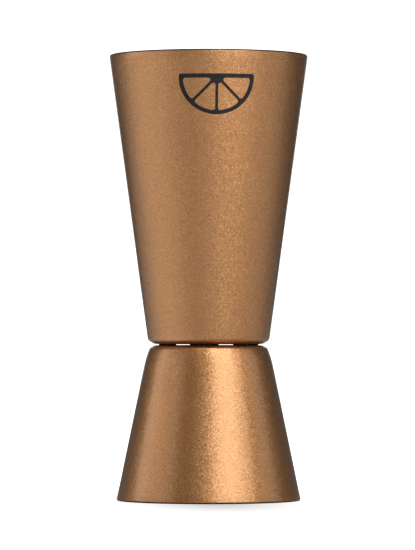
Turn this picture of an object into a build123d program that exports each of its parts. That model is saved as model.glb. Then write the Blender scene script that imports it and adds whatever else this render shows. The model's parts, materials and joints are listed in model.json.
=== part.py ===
from build123d import *

import os
from dataclasses import dataclass
from math import radians, tan

# Double-ended bar jigger, in millimetres. Two flared cups of drawn stainless steel stand floor to
# floor, a narrow gap apart, joined by one central spot weld and by a ring of filler in the gap. They
# are powder coated on the outside, and one emblem is printed on the coat.
# The axis is Z. The small cup stands mouth down on z = 0, the large cup opens upwards, and the
# emblem faces -Y.

# ---- driving dimensions, measured over the coat ----
overall_height = 100.0
seam_height = 34.95  # plane halfway between the two flat floors
floor_gap = 0.25
rim_diameter = 44.65
waist_diameter = 27.0  # of each wall, produced to the outside of its floor
base_diameter = 41.4
land_radius = 11.9  # flat part of each floor; outside it, both floors slope away from the seam
upper_slope_height = 0.85  # of the sloping part of the large cup's floor
lower_slope_height = 0.55
shoulder_height = 2.7  # where the small cup's wall turns in towards its floor
shoulder_angle = 22.3  # degrees from the axis, between there and the floor
shoulder_rounding = 17.0
edge_rounding = 1.1  # between floor and wall
land_rounding = 2.0

sheet = 0.7  # stainless steel
coat = 0.1  # powder coat
ink = 0.05  # pad print
lip_fillet = 0.22  # deburred edges of each mouth
bare_lip = 0.25  # the coat ends where each lip's rounding begins
coat_start_radius = 12.15  # and doesn't reach further into the gap than this

# ---- joint between the floors ----
weld_radius = 2.1
weld_depth = 0.3  # into each floor
weld_edge = 0.2
dimple_radius = 2.6  # pressed into each floor by the electrodes
dimple_depth = 0.12
dimple_taper = -45.0  # degrees, so that each dimple widens towards the floor's face
filler_inner_radius = 9.8
filler_outer_radius = 11.3

# ---- emblem: half a citrus wheel, flat side up ----
emblem_radius = 8.3
emblem_height = 94.0  # of the wheel's centre
cut_width = 0.6  # of the band between the wheel's centre and the flat side
rind_width = 0.85
membrane_width = 0.6
half_turn = 180.0
segment_count = 4
segment_angle = half_turn / segment_count
segment_rounding = 0.5
emblem_rounding = 0.4


@dataclass
class Outline:
    """Outline of a cup over its coat, from the axis to the mouth.

    corners are (radius, height above the floor), and every one but the first and the last is rounded.
    """

    plane: Plane
    corners: list
    roundings: list


def wall_radius(mouth_diameter, depth, height):
    """Radius of a straight wall, at that height above the outside of its floor."""
    return (waist_diameter + (mouth_diameter - waist_diameter) * height / depth) / 2


seam_plane = Plane.XY.offset(seam_height)
upper_floor = seam_plane.offset(floor_gap / 2)
lower_floor = seam_plane.offset(-floor_gap / 2)
upper_depth = overall_height - upper_floor.origin.Z
lower_depth = lower_floor.origin.Z
shoulder_radius = wall_radius(base_diameter, lower_depth, shoulder_height)
shoulder_step = (shoulder_height - lower_slope_height) * tan(radians(shoulder_angle))
upper = Outline(
    plane=Plane(origin=upper_floor.origin, x_dir=(1, 0, 0), z_dir=(0, -1, 0)),
    corners=[
        (0, -coat),
        (land_radius, -coat),
        (wall_radius(rim_diameter, upper_depth, upper_slope_height), upper_slope_height),
        (rim_diameter / 2, upper_depth),
    ],
    roundings=[land_rounding, edge_rounding],
)
lower = Outline(
    plane=Plane(origin=lower_floor.origin, x_dir=(1, 0, 0), z_dir=(0, 1, 0)),
    corners=[
        (0, -coat),
        (land_radius, -coat),
        (shoulder_radius - shoulder_step, lower_slope_height),
        (shoulder_radius, shoulder_height),
        (base_diameter / 2, lower_depth),
    ],
    roundings=[land_rounding, edge_rounding, shoulder_rounding],
)
emblem_plane = Plane(origin=(0, 0, emblem_height), x_dir=(1, 0, 0), z_dir=(0, -1, 0))


def moved_corners(corners, distance):
    """Corners of an outline whose every side has moved outwards; the last stays level with the mouth."""
    points = [Vector(*corner) for corner in corners]
    sides = [(end - start).normalized() for start, end in zip(points, points[1:])]
    faces = [Vector(side.Y, -side.X) for side in sides]
    moved = [points[0] + faces[0] * distance]
    for point, before, after in zip(points[1:], faces, faces[1:]):
        moved.append(point + (before + after) * (distance / (1 + before.dot(after))))
    moved.append(points[-1] + Vector(distance / faces[-1].X, 0))
    return moved


def half_section(outline, skin):
    """Half section of a cup filled to its mouth, with that thickness of skin over the bare steel.

    A skin of zero gives the steel's outer face, and a negative one gives a face inside the steel.
    """
    growth = skin - coat
    with BuildSketch(outline.plane) as half:
        with BuildLine():
            profile = FilletPolyline(
                *moved_corners(outline.corners, growth),
                radius=[rounding + growth for rounding in outline.roundings],
            )
            Polyline(profile @ 1, (0, (profile @ 1).Y), profile @ 0)
        make_face()
    return half.sketch


os.makedirs("parts", exist_ok=True)

# ---- centre weld: a nugget of melted steel that holds the floors together, across the gap ----
with BuildPart() as centre_weld:
    with BuildSketch(seam_plane):
        Circle(weld_radius)
    extrude(amount=floor_gap / 2 + weld_depth, both=True)
    levels = centre_weld.edges().group_by(Axis.Z)
    fillet(levels[0] + levels[-1], weld_edge)
centre_weld.part.label = "centre_weld"
export_step(centre_weld.part, "parts/centre_weld.step")

# ---- large cup, opening upwards ----
with BuildPart() as upper_cup:
    revolve(half_section(upper, 0))
    revolve(half_section(upper, -sheet), mode=Mode.SUBTRACT)
    fillet(upper_cup.edges().group_by(Axis.Z)[-1], lip_fillet)
    with BuildSketch(upper_floor.offset(sheet - dimple_depth)):
        Circle(dimple_radius)
    extrude(amount=dimple_depth, taper=dimple_taper, mode=Mode.SUBTRACT)
    add(centre_weld.part, mode=Mode.SUBTRACT)
upper_cup.part.label = "upper_cup"
export_step(upper_cup.part, "parts/upper_cup.step")

# ---- small cup, opening downwards ----
with BuildPart() as lower_cup:
    revolve(half_section(lower, 0))
    revolve(half_section(lower, -sheet), mode=Mode.SUBTRACT)
    fillet(lower_cup.edges().group_by(Axis.Z)[0], lip_fillet)
    with BuildSketch(lower_floor.offset(dimple_depth - sheet)):
        Circle(dimple_radius)
    extrude(amount=-dimple_depth, taper=dimple_taper, mode=Mode.SUBTRACT)
    add(centre_weld.part, mode=Mode.SUBTRACT)
lower_cup.part.label = "lower_cup"
export_step(lower_cup.part, "parts/lower_cup.step")

# ---- seam filler: a flat ring in the gap, set back from the corners ----
with BuildPart() as seam_filler:
    with BuildSketch(lower_floor):
        Circle(filler_outer_radius)
        Circle(filler_inner_radius, mode=Mode.SUBTRACT)
    extrude(amount=floor_gap)
seam_filler.part.label = "seam_filler"
export_step(seam_filler.part, "parts/seam_filler.step")

# ---- powder coat of the large cup, from the groove to just short of the mouth ----
with BuildPart() as upper_coating:
    revolve(half_section(upper, coat))
    revolve(half_section(upper, 0), mode=Mode.SUBTRACT)
    with BuildSketch(upper_floor):
        Circle(coat_start_radius)
    extrude(amount=sheet, both=True, mode=Mode.SUBTRACT)
    split(bisect_by=Plane.XY.offset(overall_height - bare_lip), keep=Keep.BOTTOM)
upper_coating.part.label = "upper_coating"
export_step(upper_coating.part, "parts/upper_coating.step")

# ---- powder coat of the small cup ----
with BuildPart() as lower_coating:
    revolve(half_section(lower, coat))
    revolve(half_section(lower, 0), mode=Mode.SUBTRACT)
    with BuildSketch(lower_floor):
        Circle(coat_start_radius)
    extrude(amount=sheet, both=True, mode=Mode.SUBTRACT)
    split(bisect_by=Plane.XY.offset(bare_lip), keep=Keep.TOP)
lower_coating.part.label = "lower_coating"
export_step(lower_coating.part, "parts/lower_coating.step")

# ---- printed emblem: an ink film on the large cup's coat, with its segments left open ----
with BuildSketch() as segment:
    with BuildLine():
        along_rind = CenterArc((0, 0), emblem_radius - rind_width + membrane_width / 2, 0, segment_angle)
        Polyline(along_rind @ 1, (0, 0), along_rind @ 0)
    make_face()
    offset(amount=-membrane_width / 2 - segment_rounding)
    offset(amount=segment_rounding)

with BuildPart() as printed_emblem:
    with BuildSketch(emblem_plane) as wheel:
        Circle(emblem_radius)
        with Locations((0, cut_width)):
            Rectangle(
                2 * emblem_radius,
                2 * emblem_radius,
                align=(Align.CENTER, Align.MAX),
                mode=Mode.INTERSECT,
            )
        fillet(wheel.vertices(), emblem_rounding)
        with PolarLocations(0, segment_count, start_angle=half_turn, angular_range=half_turn):
            add(segment.sketch, mode=Mode.SUBTRACT)
    extrude(amount=rim_diameter / 2)
    revolve(half_section(upper, coat + ink), mode=Mode.INTERSECT)
    revolve(half_section(upper, coat), mode=Mode.SUBTRACT)
printed_emblem.part.label = "printed_emblem"
export_step(printed_emblem.part, "parts/printed_emblem.step")
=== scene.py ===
import json
import random
from math import atan2, copysign, cos, pi, radians, sin, sqrt, tan, tau

import bpy
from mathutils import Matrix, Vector


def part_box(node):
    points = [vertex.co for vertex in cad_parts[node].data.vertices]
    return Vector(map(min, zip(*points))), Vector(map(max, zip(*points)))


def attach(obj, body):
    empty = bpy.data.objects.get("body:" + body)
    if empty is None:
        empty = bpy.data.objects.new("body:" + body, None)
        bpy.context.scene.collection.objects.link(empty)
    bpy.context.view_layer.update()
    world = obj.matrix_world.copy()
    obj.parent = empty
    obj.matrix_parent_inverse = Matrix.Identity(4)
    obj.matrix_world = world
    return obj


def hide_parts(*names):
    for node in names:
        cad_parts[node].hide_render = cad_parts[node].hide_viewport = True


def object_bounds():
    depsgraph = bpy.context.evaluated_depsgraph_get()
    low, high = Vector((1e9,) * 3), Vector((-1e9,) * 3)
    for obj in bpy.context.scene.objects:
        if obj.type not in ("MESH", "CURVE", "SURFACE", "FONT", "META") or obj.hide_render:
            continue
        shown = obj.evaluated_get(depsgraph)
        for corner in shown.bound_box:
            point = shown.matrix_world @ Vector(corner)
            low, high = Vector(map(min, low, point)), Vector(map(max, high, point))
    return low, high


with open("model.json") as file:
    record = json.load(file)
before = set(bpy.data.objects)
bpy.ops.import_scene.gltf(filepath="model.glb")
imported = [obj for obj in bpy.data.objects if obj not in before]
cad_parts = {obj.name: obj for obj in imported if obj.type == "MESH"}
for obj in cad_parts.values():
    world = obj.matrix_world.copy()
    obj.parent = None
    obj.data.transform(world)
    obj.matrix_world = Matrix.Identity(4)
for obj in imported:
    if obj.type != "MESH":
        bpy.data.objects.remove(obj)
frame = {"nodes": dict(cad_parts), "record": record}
cad_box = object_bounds()

MM = 0.001

# ---- camera: a long lens, level with the waist, a little to the left of the emblem ----
camera_distance = 920 * MM  # from the axis
camera_height = 39 * MM
camera_side = radians(4.9)
aim_height = 50.6 * MM
aim_aside = 0.25 * MM  # to the left of the axis
lens_mm = 268.0
sensor_mm = 36.0
nearest_seen = 10 * MM
farthest_seen = 40.0

# ---- coats ----
waist_radius = 13.5 * MM  # of each coated wall, produced to the outside of its floor
coat_thickness = 0.1 * MM
coat_start_radius = 12.15 * MM
land_radius = 11.9 * MM  # flat part of each floor
large_slope_height = 0.85 * MM  # of the sloping part of the floor, outside the land
small_slope_height = 0.55 * MM
shoulder_height = 2.7 * MM  # where the small cup's wall turns in towards its floor
shoulder_angle = radians(22.3)
shoulder_rounding = 17 * MM
edge_rounding = 1.1 * MM
land_rounding = 2 * MM
coat_segments = 320
edge_thinning = 0.12 * MM  # length over which each edge of a coat thins out
edge_steps = 5
arc_step = radians(5)
wall_step = 2.5 * MM
groove_waver = 0.2 * MM  # how far each edge of a coat wanders
lip_waver = 0.04 * MM
backing = 0.003 * MM  # the film's inner face, clear of the steel's facets

# ---- seam filler: dabs between the floors, as angles to the right of the camera, in degrees ----
dab_spans = ((-128, -54), (-48, -45), (-23, 12), (32, 148), (169, 202), (226, 230))
dab_width = 1.5 * MM
dab_step = 1.0  # degrees
dab_points = 16  # round each section
dab_drift = 0.2 * MM  # how far a dab wanders in and out
dab_swell = 0.2  # share of its width by which it varies
dab_tip = 0.02  # share of its width that is left at each end
dab_side_power = 0.6  # below 1, so that its section is squarer than an ellipse
dab_face_power = 0.4

# ---- floor: white paper that glows, with a soft painted shade in front of the base ----
floor_half_size = 12.0
floor_drop = 0.01 * MM  # below the base, so that the two don't coincide
shade_forward = 18 * MM  # from the axis to the darkest place
shade_length = 100 * MM
shade_narrowing = 2.4  # times as long as it is wide
contact_radius = 21 * MM  # inside it, the jigger gets no glow from the floor: painted contact shade at its base
contact_end = 45 * MM  # and outside this, all of it
front_glow = 0.22  # glow that the jigger gets from the half of the floor before it
left_glow = 0.3  # added to that on the left

# ---- studio lights ----
softbox_distance = 1.0  # from the aim point


def around(angle_deg, distance, height):
    """Point at that distance from the axis, at an angle to the right of the camera as it looks in."""
    angle = radians(angle_deg) - camera_side
    return Vector((sin(angle) * distance, -cos(angle) * distance, height))


def aim(thing, target):
    thing.rotation_euler = (Vector(target) - thing.location).to_track_quat("-Z", "Y").to_euler()


def link(name, data):
    thing = bpy.data.objects.new(name, data)
    bpy.context.scene.collection.objects.link(thing)
    return thing


# ---- pieces ----
class Outline:
    """Outline of a coated cup: straight runs with rounded corners, from the floor's land to the mouth."""

    def __init__(self, cup, coating, way, slope_height, shouldered):
        low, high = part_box(cup)
        film_low, film_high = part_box(coating)
        self.way = way  # 1 where the cup opens upwards, -1 where it opens downwards
        self.floor = low.z if way > 0 else high.z
        reach = film_high.z - self.floor if way > 0 else self.floor - film_low.z
        spread = (film_high.x - waist_radius) / reach
        corners = [Vector((0, -coat_thickness)), Vector((land_radius, -coat_thickness))]
        if shouldered:
            shoulder = Vector((waist_radius + spread * shoulder_height, shoulder_height))
            back = shoulder_height - slope_height
            corners += [shoulder - back * Vector((tan(shoulder_angle), 1)), shoulder]
        else:
            corners.append(Vector((waist_radius + spread * slope_height, slope_height)))
        corners.append(Vector((film_high.x, reach)))
        self.lay(corners, [land_rounding, edge_rounding, shoulder_rounding][:len(corners) - 2])
        spot, heading = self.runs[2][:2]
        self.start = self.runs[0][3] + self.runs[1][3] + (coat_start_radius - spot.x) / cos(heading)
        self.end = sum(run[3] for run in self.runs)

    def lay(self, corners, roundings):
        """Runs as (first spot, heading, bend per length, length)."""
        self.runs = []
        spot = corners[0]
        for last, corner, following, rounding in zip(corners, corners[1:], corners[2:], roundings):
            before = (corner - last).normalized()
            after = (following - corner).normalized()
            heading = atan2(before.y, before.x)
            turn = atan2(after.y, after.x) - heading
            cut = rounding * tan(turn / 2)
            arc_start = corner - before * cut
            self.runs.append((spot, heading, 0, (arc_start - spot).length))
            self.runs.append((arc_start, heading, 1 / rounding, rounding * turn))
            spot = corner + after * cut
        rest = corners[-1] - spot
        self.runs.append((spot, atan2(rest.y, rest.x), 0, rest.length))

    def stops(self, first, last):
        """Lengths along the outline at which its shape needs a ring of points, between two others."""
        lengths = []
        done = 0
        for _, _, bend, length in self.runs:
            steps = max(1, round(length * bend / arc_step if bend else length / wall_step))
            lengths += [done + length * i / steps for i in range(steps)]
            done += length
        return [length for length in lengths if first < length < last]

    def point(self, along, above_steel):
        """Radius and height of a point of the coat."""
        for spot, heading, bend, length in self.runs:
            if along <= length:
                break
            along -= length
        turned = heading + bend * along
        if bend:
            spot = spot + Vector((sin(turned) - sin(heading), cos(heading) - cos(turned))) / bend
        else:
            spot = spot + along * Vector((cos(heading), sin(heading)))
        spot = spot + (above_steel - coat_thickness) * Vector((sin(turned), -cos(turned)))
        return spot.x, self.floor + self.way * spot.y


def waver(rng, waves):
    """Smooth random function of an angle, from -1 to 1, that closes after a full turn."""
    terms = [(count, rng.uniform(0, tau), rng.uniform(0.4, 1.0)) for count in waves]
    total = sum(size for _, _, size in terms)
    return lambda angle: sum(size * sin(count * angle + phase) for count, phase, size in terms) / total


def tube_of(sections, closed, points, faces):
    """Adds the skin over a row of closed sections; closed joins the last section to the first."""
    base = len(points)
    count = len(sections[0])
    rows = len(sections)
    points.extend(point for section in sections for point in section)
    for i in range(rows if closed else rows - 1):
        here = base + i * count
        there = base + (i + 1) % rows * count
        for j in range(count):
            k = (j + 1) % count
            faces.append((here + j, there + j, there + k, here + k))
    if not closed:
        faces.append(tuple(base + j for j in range(count)))
        faces.append(tuple(base + rows * count - 1 - j for j in range(count)))


def smooth_mesh(name, points, faces):
    mesh = bpy.data.meshes.new(name)
    mesh.from_pydata(points, [], faces)
    mesh.validate()
    mesh.shade_smooth()
    return link(name, mesh)


def coat(name, outline, seed):
    """Closed film over the outside of a cup, with edges as uneven as a sprayed coat's."""
    rng = random.Random(seed)
    groove = waver(rng, (3, 5, 8, 13, 21, 34, 55))
    lip = waver(rng, (4, 7, 12, 19, 31, 50))
    margin = edge_thinning + groove_waver
    middle = outline.stops(outline.start + margin, outline.end - margin)
    turns = [pi / 2 * i / edge_steps for i in range(edge_steps + 1)]
    sections = []
    for i in range(coat_segments):
        angle = tau * i / coat_segments
        start = outline.start + groove_waver * groove(angle)
        end = outline.end - lip_waver * (1 + lip(angle))
        first = [(start + edge_thinning * (1 - cos(turn)), coat_thickness * sin(turn)) for turn in turns]
        last = [(end - edge_thinning * (1 - cos(turn)), coat_thickness * sin(turn)) for turn in turns[::-1]]
        film = first + [(along, coat_thickness) for along in middle] + last
        film += [(along, backing) for along in reversed(middle)]
        spots = [outline.point(along, above) for along, above in film]
        sections.append([(radius * cos(angle), radius * sin(angle), height) for radius, height in spots])
    points, faces = [], []
    tube_of(sections if outline.way < 0 else sections[::-1], True, points, faces)
    return smooth_mesh(name, points, faces)


def filler_dabs(name):
    """Dabs of filler that were pressed out flat between the two floors."""
    rng = random.Random(11)
    low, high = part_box("seam_filler")
    middle = (low.z + high.z) / 2
    half_gap = (high.z - low.z) / 2
    centre = high.x - dab_width / 2
    points, faces = [], []
    for first, last in dab_spans:
        drift = waver(rng, (5, 11, 17, 29))
        swell = waver(rng, (4, 9, 23, 41))
        steps = max(12, round((last - first) / dab_step))
        length = radians(last - first) * centre
        sections = []
        for i in range(steps + 1):
            share = (1 - cos(pi * i / steps)) / 2
            angle = radians(first + (last - first) * share) - camera_side - pi / 2
            from_end = length * min(share, 1 - share)
            rounding = min(length, dab_width) / 2
            end_shape = sqrt(max(0.0, 1 - max(0.0, 1 - from_end / rounding) ** 2))
            fullness = 1 - dab_swell + dab_swell * swell(angle)
            half_width = dab_width / 2 * fullness * max(end_shape, dab_tip)
            radius = centre + dab_drift * drift(angle) * end_shape
            section = []
            for j in range(dab_points):
                turn = tau * j / dab_points
                out = copysign(abs(cos(turn)) ** dab_side_power, cos(turn))
                up = copysign(abs(sin(turn)) ** dab_face_power, sin(turn))
                spot = radius + half_width * out
                section.append((spot * cos(angle), spot * sin(angle), middle + half_gap * up))
            sections.append(section)
        tube_of(sections, False, points, faces)
    return smooth_mesh(name, points, faces)


# ---- material nodes ----
class Nodes:
    """Short names for the node calls that every material makes."""

    def __init__(self, name):
        self.material = bpy.data.materials.new(name)
        self.material.use_nodes = True
        self.tree = self.material.node_tree
        self.shader = self.tree.nodes["Principled BSDF"]
        self.position = self.add("ShaderNodeTexCoord").outputs["Object"]

    def add(self, kind, **settings):
        node = self.tree.nodes.new(kind)
        for key, value in settings.items():
            setattr(node, key, value)
        return node

    def feed(self, socket, value):
        if isinstance(value, bpy.types.NodeSocket):
            self.tree.links.new(value, socket)
        else:
            socket.default_value = value

    def set(self, **values):
        """Sets the shader's sockets, with _ for a space in each name."""
        for key, value in values.items():
            self.feed(self.shader.inputs[key.replace("_", " ")], value)

    def math(self, operation, *values):
        node = self.add("ShaderNodeMath", operation=operation)
        for socket, value in zip(node.inputs, values):
            self.feed(socket, value)
        return node.outputs[0]

    def vector(self, operation, *values, scale=None):
        node = self.add("ShaderNodeVectorMath", operation=operation)
        for socket, value in zip(node.inputs, values):
            self.feed(socket, value)
        if scale is not None:
            self.feed(node.inputs["Scale"], scale)
        return node.outputs["Value"] if operation == "LENGTH" else node.outputs["Vector"]

    def parts(self, vector):
        node = self.add("ShaderNodeSeparateXYZ")
        self.feed(node.inputs[0], vector)
        return node.outputs["X"], node.outputs["Y"], node.outputs["Z"]

    def join(self, x, y, z):
        node = self.add("ShaderNodeCombineXYZ")
        for socket, value in zip(node.inputs, (x, y, z)):
            self.feed(socket, value)
        return node.outputs[0]

    def noise(self, vector, size, detail=2.0, roughness=0.5):
        """Fractal noise, about 0.3 to 0.7, whose features are about that size."""
        node = self.add("ShaderNodeTexNoise")
        self.feed(node.inputs["Vector"], vector)
        node.inputs["Scale"].default_value = 1 / size
        node.inputs["Detail"].default_value = detail
        node.inputs["Roughness"].default_value = roughness
        return node.outputs["Fac"]

    def cells(self, vector, size):
        """Random colour for each cell of about that size."""
        node = self.add("ShaderNodeTexVoronoi", feature="F1")
        self.feed(node.inputs["Vector"], vector)
        node.inputs["Scale"].default_value = 1 / size
        return node.outputs["Color"]

    def spread(self, value, low, high, start=0.0, end=1.0):
        """value, taken from the range start to end into the range low to high."""
        node = self.add("ShaderNodeMapRange")
        self.feed(node.inputs["Value"], value)
        for key, number in (("From Min", start), ("From Max", end), ("To Min", low), ("To Max", high)):
            self.feed(node.inputs[key], number)
        return node.outputs["Result"]

    def blend(self, factor, first, second):
        node = self.add("ShaderNodeMix", data_type="RGBA")
        self.feed(node.inputs["Factor"], factor)
        colors = [socket for socket in node.inputs if socket.type == "RGBA"]
        self.feed(colors[0], first)
        self.feed(colors[1], second)
        return next(socket for socket in node.outputs if socket.type == "RGBA")

    def bump(self, height, distance, strength=1.0, normal=None):
        node = self.add("ShaderNodeBump")
        self.feed(node.inputs["Height"], height)
        node.inputs["Distance"].default_value = distance
        node.inputs["Strength"].default_value = strength
        if normal is not None:
            self.feed(node.inputs["Normal"], normal)
        return node.outputs["Normal"]

    def round_axis(self):
        """Distance from the axis, height, and angle round the axis in turns."""
        x, y, z = self.parts(self.position)
        radius = self.vector("LENGTH", self.join(x, y, 0.0))
        turns = self.math("DIVIDE", self.math("ARCTAN2", y, x), tau)
        return radius, z, turns


def bronze_coat():
    """Bronze powder coat: metal flakes that differ in tint and tilt, under a clear binder."""
    n = Nodes("bronze_coat")
    tilt = n.cells(n.position, 0.18 * MM)
    shade, dull, _ = n.parts(n.cells(n.vector("ADD", n.position, (0.03, 0.01, 0.02)), 0.13 * MM))
    flake = n.blend(shade, (0.42, 0.202, 0.078, 1), (0.67, 0.358, 0.158, 1))
    cloud = n.spread(n.noise(n.position, 7 * MM, 3.0), 0.0, 0.1, 0.35, 0.65)
    normal = n.add("ShaderNodeNewGeometry").outputs["Normal"]
    lean = n.vector("SCALE", n.vector("SUBTRACT", tilt, (0.5, 0.5, 0.5)), scale=0.22)
    flake_normal = n.vector("NORMALIZE", n.vector("ADD", normal, lean))
    peel = n.noise(n.position, 1.1 * MM, 1.0)
    n.set(
        Base_Color=n.blend(cloud, flake, (0.40, 0.185, 0.068, 1)),
        Metallic=1.0,
        Roughness=n.spread(dull, 0.36, 0.44),
        Normal=n.bump(peel, 0.004 * MM, 0.5, flake_normal),
        Coat_Weight=1.0,
        Coat_Roughness=0.2,
        Coat_IOR=1.5,
    )
    return n.material


def turned_steel():
    """Satin stainless steel: fine lathe rings, a heat tint round the centre weld, and lips painted
    near-black as shade.
    """
    n = Nodes("steel")
    radius, height, turns = n.round_axis()
    across = n.math("DIVIDE", radius, 0.09 * MM)
    along = n.math("DIVIDE", height, 0.09 * MM)
    rings = n.join(across, along, n.math("MULTIPLY", turns, 7.0))
    fine = n.noise(rings, 1.0, 4.0, 0.65)
    cloud = n.noise(n.position, 6 * MM, 3.0)
    metal = n.blend(n.spread(fine, 0.0, 1.0, 0.3, 0.7), (0.50, 0.49, 0.47, 1), (0.63, 0.62, 0.60, 1))
    inner = n.spread(radius, 0.0, 1.0, 2.2 * MM, 3.0 * MM)
    outer = n.spread(radius, 1.0, 0.0, 3.2 * MM, 4.6 * MM)
    straw = n.math("MULTIPLY", n.math("MULTIPLY", inner, outer), n.spread(cloud, 0.2, 0.7, 0.35, 0.65))
    wear = n.math("ADD", n.math("MULTIPLY", fine, 0.7), n.math("MULTIPLY", cloud, 0.3))
    # painted shade: the last 0.2 to 0.3 mm of steel at each mouth is coloured near-black, so that the lips
    # show as dark lines instead of catching the lamps
    half_height = cad_box[1][2] / 2
    from_waist = n.math("ABSOLUTE", n.math("SUBTRACT", height, half_height))
    lip = n.spread(from_waist, 0.0, 1.0, half_height - 0.3 * MM, half_height - 0.2 * MM)
    body = n.blend(straw, metal, (0.52, 0.36, 0.19, 1))
    n.set(
        Base_Color=n.blend(lip, body, (0.04, 0.03, 0.026, 1)),
        Metallic=1.0,
        Roughness=n.spread(wear, 0.2, 0.4, 0.3, 0.7),
        Normal=n.bump(fine, 0.004 * MM, 0.6),
    )
    return n.material


def weld_metal():
    """Steel that has melted and set: dull, with small ripples."""
    n = Nodes("weld_metal")
    ripple = n.noise(n.position, 0.35 * MM, 4.0, 0.6)
    shade = n.spread(ripple, 0.0, 1.0, 0.35, 0.65)
    n.set(
        Base_Color=n.blend(shade, (0.30, 0.29, 0.28, 1), (0.46, 0.44, 0.42, 1)),
        Metallic=1.0,
        Roughness=n.spread(ripple, 0.34, 0.56, 0.35, 0.65),
        Normal=n.bump(ripple, 0.02 * MM, 0.7),
    )
    return n.material


def filler():
    """Dark sealant, glossy where it has flowed and dull where it has torn."""
    n = Nodes("filler")
    lumps = n.noise(n.position, 0.5 * MM, 3.0, 0.55)
    shade = n.spread(lumps, 0.0, 1.0, 0.35, 0.65)
    n.set(
        Base_Color=n.blend(shade, (0.010, 0.009, 0.009, 1), (0.030, 0.026, 0.023, 1)),
        Roughness=n.spread(lumps, 0.12, 0.5, 0.35, 0.65),
        Normal=n.bump(lumps, 0.04 * MM, 0.6),
    )
    return n.material


def ink():
    """Satin black print, with the faint unevenness of an ink film over a flaked coat."""
    n = Nodes("ink")
    grain = n.noise(n.position, 0.16 * MM, 2.0)
    patch = n.noise(n.position, 1.6 * MM, 3.0)
    shade = n.spread(patch, 0.0, 1.0, 0.35, 0.65)
    n.set(
        Base_Color=n.blend(shade, (0.008, 0.007, 0.007, 1), (0.017, 0.015, 0.014, 1)),
        Roughness=n.spread(grain, 0.36, 0.56, 0.3, 0.7),
        Normal=n.bump(grain, 0.008 * MM, 0.5),
    )
    return n.material


# ---- studio ----
def add_camera():
    data = bpy.data.cameras.new("camera")
    data.lens = lens_mm
    data.sensor_width = sensor_mm
    data.clip_start = nearest_seen
    data.clip_end = farthest_seen
    camera = link("camera", data)
    camera.location = around(0, camera_distance, camera_height)
    aim(camera, around(-90, aim_aside, aim_height))
    bpy.context.scene.camera = camera


def add_softbox(name, sides, levels, radiance):
    """Soft light between two angles to the right of the camera and two elevations, all in degrees."""
    width = 2 * softbox_distance * tan(radians(sides[1] - sides[0]) / 2)
    length = 2 * softbox_distance * tan(radians(levels[1] - levels[0]) / 2)
    rise = radians(levels[0] + levels[1]) / 2
    data = bpy.data.lights.new(name, "AREA")
    data.shape = "RECTANGLE"
    data.size = width
    data.size_y = length
    data.energy = radiance * pi * width * length
    light = link(name, data)
    height = aim_height + softbox_distance * sin(rise)
    light.location = around((sides[0] + sides[1]) / 2, softbox_distance * cos(rise), height)
    aim(light, (0, 0, aim_height))
    light.visible_camera = False


def camera_mix(tree, others, camera):
    """One value for rays from the camera and another for the rest."""
    path = tree.nodes.new("ShaderNodeLightPath")
    mix = tree.nodes.new("ShaderNodeMapRange")
    tree.links.new(path.outputs["Is Camera Ray"], mix.inputs["Value"])
    for socket, value in ((mix.inputs["To Min"], others), (mix.inputs["To Max"], camera)):
        if isinstance(value, bpy.types.NodeSocket):
            tree.links.new(value, socket)
        else:
            socket.default_value = value
    return mix.outputs["Result"]


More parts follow.
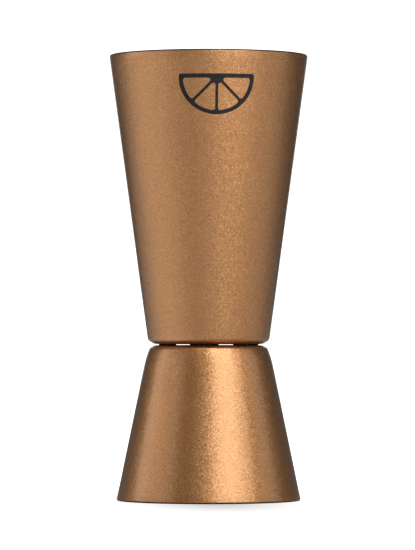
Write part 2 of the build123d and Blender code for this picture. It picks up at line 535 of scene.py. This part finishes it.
def add_floor():
    """White paper that glows to the camera until it clips, except for painted shade just in front of the
    base, so that it has no horizon.
    """
    half = floor_half_size
    corners = [(-half, -half, 0), (half, -half, 0), (half, half, 0), (-half, half, 0)]
    mesh = bpy.data.meshes.new("floor")
    mesh.from_pydata(corners, [], [(0, 1, 2, 3)])
    floor = link("floor", mesh)
    floor.location.z = -floor_drop
    n = Nodes("floor")
    x, y, _ = n.parts(n.position)
    # painted shade: the floor's glow to the camera is dimmed in a long soft patch in front of the base
    forward = n.math("ADD", y, shade_forward)
    shade = n.vector("LENGTH", n.join(n.math("MULTIPLY", x, shade_narrowing), forward, 0.0))
    camera_glow_with_painted_shade = n.spread(shade, 0.2, 1.05, 0.0, shade_length)
    rightwards, backwards, _ = n.parts(n.vector("NORMALIZE", n.position))
    front = n.spread(backwards, front_glow, 0.0, 0.0, 0.5)
    left = n.spread(rightwards, left_glow, 0.0, -0.95, -0.5)
    # painted contact shade: the glow that the jigger gets from the floor fades out near the base
    clear = n.spread(n.vector("LENGTH", n.position), 0.0, 1.0, contact_radius, contact_end)
    lit = n.math("MULTIPLY", n.math("ADD", front, left), clear)
    n.set(
        Base_Color=(0.45, 0.45, 0.45, 1),
        Roughness=1.0,
        Specular_IOR_Level=0.0,
        Emission_Color=(1, 1, 1, 1),
        Emission_Strength=camera_mix(n.tree, lit, camera_glow_with_painted_shade),
    )
    mesh.materials.append(n.material)


def add_world():
    world = bpy.data.worlds.new("studio")
    world.use_nodes = True
    background = world.node_tree.nodes["Background"]
    background.inputs["Color"].default_value = (1, 1, 1, 1)
    strength = camera_mix(world.node_tree, 0.1, 1.1)
    world.node_tree.links.new(strength, background.inputs["Strength"])
    bpy.context.scene.world = world


materials = {
    "steel": turned_steel(),
    "weld_metal": weld_metal(),
    "filler": filler(),
    "bronze_coat": bronze_coat(),
    "ink": ink(),
}


def finish_piece(piece, node, slot):
    piece.data.materials.append(materials[slot])
    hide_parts(node)
    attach(piece, "root")


slots = {row["node"]: row["material_slot"] for row in frame["record"]["subparts"]}
for name, node in frame["nodes"].items():
    node.data.materials.clear()
    node.data.materials.append(materials[slots[name]])

large_outline = Outline("upper_cup", "upper_coating", 1, large_slope_height, False)
small_outline = Outline("lower_cup", "lower_coating", -1, small_slope_height, True)
finish_piece(coat("large_cup_coat", large_outline, 5), "upper_coating", "bronze_coat")
finish_piece(coat("small_cup_coat", small_outline, 8), "lower_coating", "bronze_coat")
finish_piece(filler_dabs("seam_filler_dabs"), "seam_filler", "filler")

add_camera()
add_floor()
add_world()
add_softbox("key", (8, 42), (0, 45), 2.0)
add_softbox("key_edge", (42, 62), (0, 45), 1.3)
add_softbox("key_top", (10, 44), (45, 70), 3.0)
add_softbox("left", (-110, -90), (0, 35), 1.0)
add_softbox("left_edge", (-90, -48), (0, 35), 0.6)
add_softbox("right", (74, 100), (0, 35), 0.6)
add_softbox("front", (-20, 8), (0, 35), 0.22)
add_softbox("front_top", (-48, 8), (35, 65), 0.2)
add_softbox("overhead", (-40, 40), (70, 110), 0.3)
add_softbox("backdrop", (165, 195), (0, 30), 0.6)
bpy.context.scene.view_settings.view_transform = "Standard"
bpy.context.scene.view_settings.look = "Medium High Contrast"
